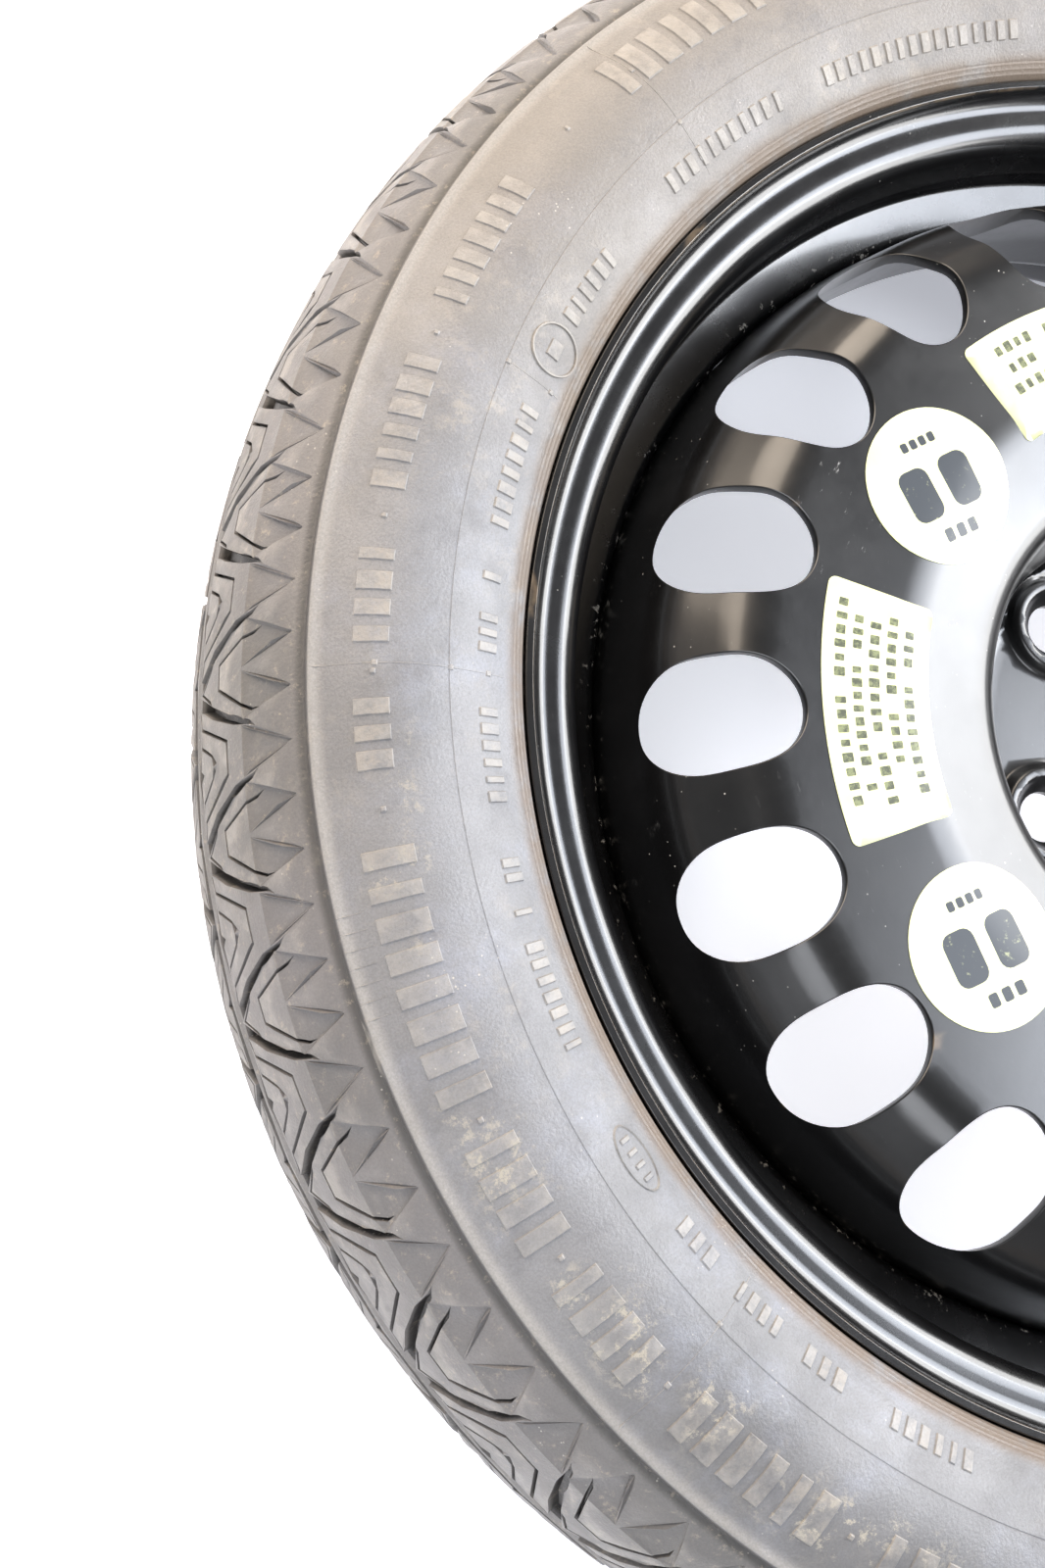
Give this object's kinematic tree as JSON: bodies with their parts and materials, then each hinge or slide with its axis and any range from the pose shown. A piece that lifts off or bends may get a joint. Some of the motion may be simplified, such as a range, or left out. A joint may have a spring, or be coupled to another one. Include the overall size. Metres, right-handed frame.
{
  "type": "space saver spare wheel",
  "caption": "Narrow temporary-use spare wheel: black pressed steel wheel with oval-ended vent holes, a centre bore and ball-seat bolt holes, and a slim radial tyre.",
  "frame": {"origin": "centre of the centre bore at the hub mounting face", "axes": "+Z along the wheel's axis towards the outboard side, +X and +Y in the plane of the mounting face; the wheel lies flat with its inboard side down"},
  "size_m": [0.649, 0.649, 0.1542],
  "materials": {
    "tyre": "dusty tread and sidewall rubber",
    "rim": "gloss black paint on rolled steel",
    "disc": "gloss black paint on pressed steel",
    "weld_beads": "painted weld bead",
    "valve_body": "moulded rubber",
    "valve_stem": "turned brass",
    "valve_core_plug": "turned brass",
    "valve_core_gasket": "red sealing ring",
    "valve_core_body": "turned brass",
    "valve_pin": "turned brass",
    "valve_cup": "pressed brass",
    "valve_cup_seal": "moulded rubber",
    "valve_spring": "spring wire",
    "valve_cap": "moulded plastic",
    "valve_cap_seal": "moulded rubber",
    "label_speed_upper": "printed film",
    "label_speed_lower": "printed film",
    "label_note_left": "printed film",
    "label_note_top": "printed film"
  },
  "bodies": {
    "wheel": {"tyre": "tyre", "rim": "rim", "disc": "disc", "weld_beads": "weld_beads", "valve_body": "valve_body", "valve_stem": "valve_stem", "valve_core_plug": "valve_core_plug", "valve_core_gasket": "valve_core_gasket", "valve_core_body": "valve_core_body", "valve_spring": "valve_spring", "label_speed_upper": "label_speed_upper", "label_speed_lower": "label_speed_lower", "label_note_left": "label_note_left", "label_note_top": "label_note_top"},
    "cap": {"valve_cap": "valve_cap", "valve_cap_seal": "valve_cap_seal"},
    "pin": {"valve_pin": "valve_pin", "valve_cup": "valve_cup", "valve_cup_seal": "valve_cup_seal"}
  },
  "joints": [
    {"name": "valve_cap_off", "type": "slide", "parent": "wheel", "child": "cap", "axis": [0.3128, 0.098, 0.9448], "range_m": [0, 0.013]},
    {"name": "valve_pin_press", "type": "slide", "parent": "wheel", "child": "pin", "axis": [-0.3128, -0.098, -0.9448], "range_m": [0, 0.0012], "stiffness_N_per_m": 900, "springref_m": -0.002, "deforming": ["valve_spring"]}
  ]
}
